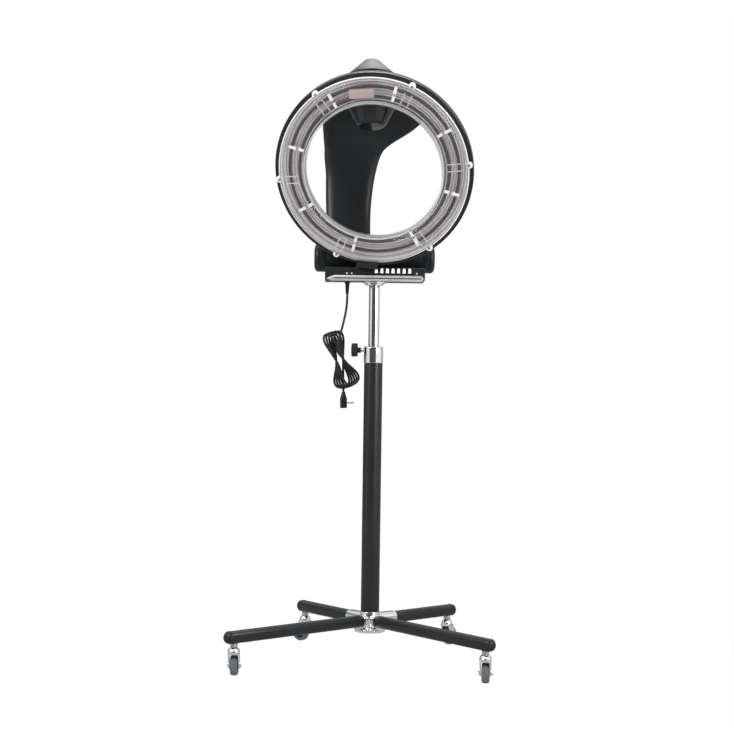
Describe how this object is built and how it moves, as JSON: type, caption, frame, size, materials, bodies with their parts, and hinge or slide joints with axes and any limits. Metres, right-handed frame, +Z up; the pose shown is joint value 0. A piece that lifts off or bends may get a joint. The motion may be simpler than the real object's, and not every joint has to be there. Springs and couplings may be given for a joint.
{
  "type": "hair color processor",
  "caption": "Rolling salon stand with a height-adjustable mast, a push-button control box and a curved arm that carries an orbiting heated ring for the head.",
  "frame": {"origin": "on the floor, under the middle of the footprint; the lead does not count", "axes": "+Z up, the front with the longer legs and the buttons faces -Y"},
  "size_m": [0.6588, 0.5612, 1.5204],
  "materials": {
    "chrome": "polished chrome plate",
    "steel": "plain zinc-plated steel",
    "black_paint": "glossy black powder coat",
    "black_plastic": "satin black moulded plastic",
    "gloss_black": "glossy black moulded plastic",
    "white_plastic": "white moulded plastic",
    "grey_rubber": "blue-grey rubber tyre",
    "clear_plastic": "clear moulded cover",
    "reflector": "bright reflector with a rose tint",
    "quartz": "dark heating tube",
    "board": "green circuit board",
    "cord_black": "black rubber-sheathed lead"
  },
  "bodies": {
    "stand": {"base_hub": "chrome", "leg_front_left": "black_paint", "leg_front_right": "black_paint", "leg_rear_left": "black_paint", "leg_rear_right": "black_paint", "leg_cap_front_left": "black_plastic", "leg_cap_front_right": "black_plastic", "leg_cap_rear_left": "black_plastic", "leg_cap_rear_right": "black_plastic", "caster_stem_front_left": "steel", "caster_stem_front_right": "steel", "caster_stem_rear_left": "steel", "caster_stem_rear_right": "steel", "column_tube": "black_paint", "guide_bush": "black_plastic", "column_collar": "chrome"},
    "caster_front_left": {"caster_fork_front_left": "chrome"},
    "wheel_front_left": {"caster_wheel_front_left": "grey_rubber"},
    "caster_front_right": {"caster_fork_front_right": "chrome"},
    "wheel_front_right": {"caster_wheel_front_right": "grey_rubber"},
    "caster_rear_left": {"caster_fork_rear_left": "chrome"},
    "wheel_rear_left": {"caster_wheel_rear_left": "grey_rubber"},
    "caster_rear_right": {"caster_fork_rear_right": "chrome"},
    "wheel_rear_right": {"caster_wheel_rear_right": "grey_rubber"},
    "clamp_screw": {"clamp_screw": "steel"},
    "clamp_knob": {"clamp_knob": "black_plastic"},
    "mast": {"mast_tube": "chrome", "mast_flange": "chrome"},
    "head": {"control_box": "black_plastic", "control_base_plate": "black_plastic", "hinge_ear_left": "black_plastic", "hinge_ear_right": "black_plastic", "tilt_pin": "steel", "chrome_rail": "chrome", "circuit_board": "board", "strain_relief": "cord_black", "cord_drop": "cord_black", "cord_hank": "cord_black", "plug": "cord_black"},
    "button_1": {"button_1": "white_plastic"},
    "button_2": {"button_2": "white_plastic"},
    "button_3": {"button_3": "white_plastic"},
    "button_4": {"button_4": "white_plastic"},
    "button_5": {"button_5": "white_plastic"},
    "button_6": {"button_6": "white_plastic"},
    "button_7": {"button_7": "white_plastic"},
    "arm": {"tilt_barrel": "black_plastic", "arm_front_shell": "black_plastic", "arm_rear_shell": "black_plastic", "hub_housing": "black_plastic", "hub_cap": "black_plastic", "drive_motor": "steel"},
    "ring": {"ring_shaft": "steel", "hub_dome": "gloss_black", "ring_shroud": "gloss_black", "ring_reflector": "reflector", "heater_tube_1": "quartz", "heater_tube_2": "quartz", "ring_cover": "clear_plastic", "sensor_housing": "black_plastic"}
  },
  "joints": [
    {"name": "swivel_front_left", "type": "hinge", "parent": "stand", "child": "caster_front_left", "pos_m": [-0.30264, -0.2539, 0], "axis": [0, 0, 1], "continuous": true},
    {"name": "roll_front_left", "type": "hinge", "parent": "caster_front_left", "child": "wheel_front_left", "pos_m": [-0.30369, -0.23894, 0.025], "axis": [0.9976, 0.0698, 0], "continuous": true},
    {"name": "swivel_front_right", "type": "hinge", "parent": "stand", "child": "caster_front_right", "pos_m": [0.30264, -0.2539, 0], "axis": [0, 0, 1], "continuous": true},
    {"name": "roll_front_right", "type": "hinge", "parent": "caster_front_right", "child": "wheel_front_right", "pos_m": [0.30343, -0.23892, 0.025], "axis": [0.9986, -0.0523, 0], "continuous": true},
    {"name": "swivel_rear_left", "type": "hinge", "parent": "stand", "child": "caster_rear_left", "pos_m": [-0.19375, 0.24249, 0], "axis": [0, 0, 1], "continuous": true},
    {"name": "roll_rear_left", "type": "hinge", "parent": "caster_rear_left", "child": "wheel_rear_left", "pos_m": [-0.20647, 0.25044, 0.025], "axis": [0.5299, 0.848, 0], "continuous": true},
    {"name": "swivel_rear_right", "type": "hinge", "parent": "stand", "child": "caster_rear_right", "pos_m": [0.19375, 0.24249, 0], "axis": [0, 0, 1], "continuous": true},
    {"name": "roll_rear_right", "type": "hinge", "parent": "caster_rear_right", "child": "wheel_rear_right", "pos_m": [0.20079, 0.25573, 0.025], "axis": [0.8829, -0.4695, 0], "continuous": true},
    {"name": "clamp_screw_travel", "type": "slide", "parent": "stand", "child": "clamp_screw", "axis": [-1, 0, 0], "range_m": [0, 0.0025]},
    {"name": "clamp_knob_turn", "type": "hinge", "parent": "clamp_screw", "child": "clamp_knob", "pos_m": [0, 0.04874, 0.795], "axis": [-1, 0, 0], "range_deg": [0, 720]},
    {"name": "mast_height", "type": "slide", "parent": "stand", "child": "mast", "axis": [0, 0, 1], "range_m": [-0.12, 0.15]},
    {"name": "head_swivel", "type": "hinge", "parent": "mast", "child": "head", "pos_m": [0, 0.04874, 0.975], "axis": [0, 0, 1], "range_deg": [-120, 120]},
    {"name": "button_1_press", "type": "slide", "parent": "head", "child": "button_1", "axis": [-0.1045, 0.9945, 0], "range_m": [0, 0.0025], "stiffness_N_per_m": 400},
    {"name": "button_2_press", "type": "slide", "parent": "head", "child": "button_2", "axis": [-0.1045, 0.9945, 0], "range_m": [0, 0.0025], "stiffness_N_per_m": 400},
    {"name": "button_3_press", "type": "slide", "parent": "head", "child": "button_3", "axis": [-0.1045, 0.9945, 0], "range_m": [0, 0.0025], "stiffness_N_per_m": 400},
    {"name": "button_4_press", "type": "slide", "parent": "head", "child": "button_4", "axis": [-0.1045, 0.9945, 0], "range_m": [0, 0.0025], "stiffness_N_per_m": 400},
    {"name": "button_5_press", "type": "slide", "parent": "head", "child": "button_5", "axis": [-0.1045, 0.9945, 0], "range_m": [0, 0.0025], "stiffness_N_per_m": 400},
    {"name": "button_6_press", "type": "slide", "parent": "head", "child": "button_6", "axis": [-0.1045, 0.9945, 0], "range_m": [0, 0.0025], "stiffness_N_per_m": 400},
    {"name": "button_7_press", "type": "slide", "parent": "head", "child": "button_7", "axis": [-0.1045, 0.9945, 0], "range_m": [0, 0.0025], "stiffness_N_per_m": 400},
    {"name": "arm_tilt", "type": "hinge", "parent": "head", "child": "arm", "pos_m": [-0.00491, 0.09548, 1.037], "axis": [0.9945, 0.1045, 0], "range_deg": [-20, 0]},
    {"name": "ring_orbit", "type": "hinge", "parent": "arm", "child": "ring", "pos_m": [-0.00102, -0.10421, 1.46], "axis": [-0.0199, 0.1898, 0.9816], "continuous": true}
  ],
  "couplings": [
    {"joint": "clamp_screw_travel", "follows": "clamp_knob_turn", "m_per_rad": 0.00019894}
  ]
}
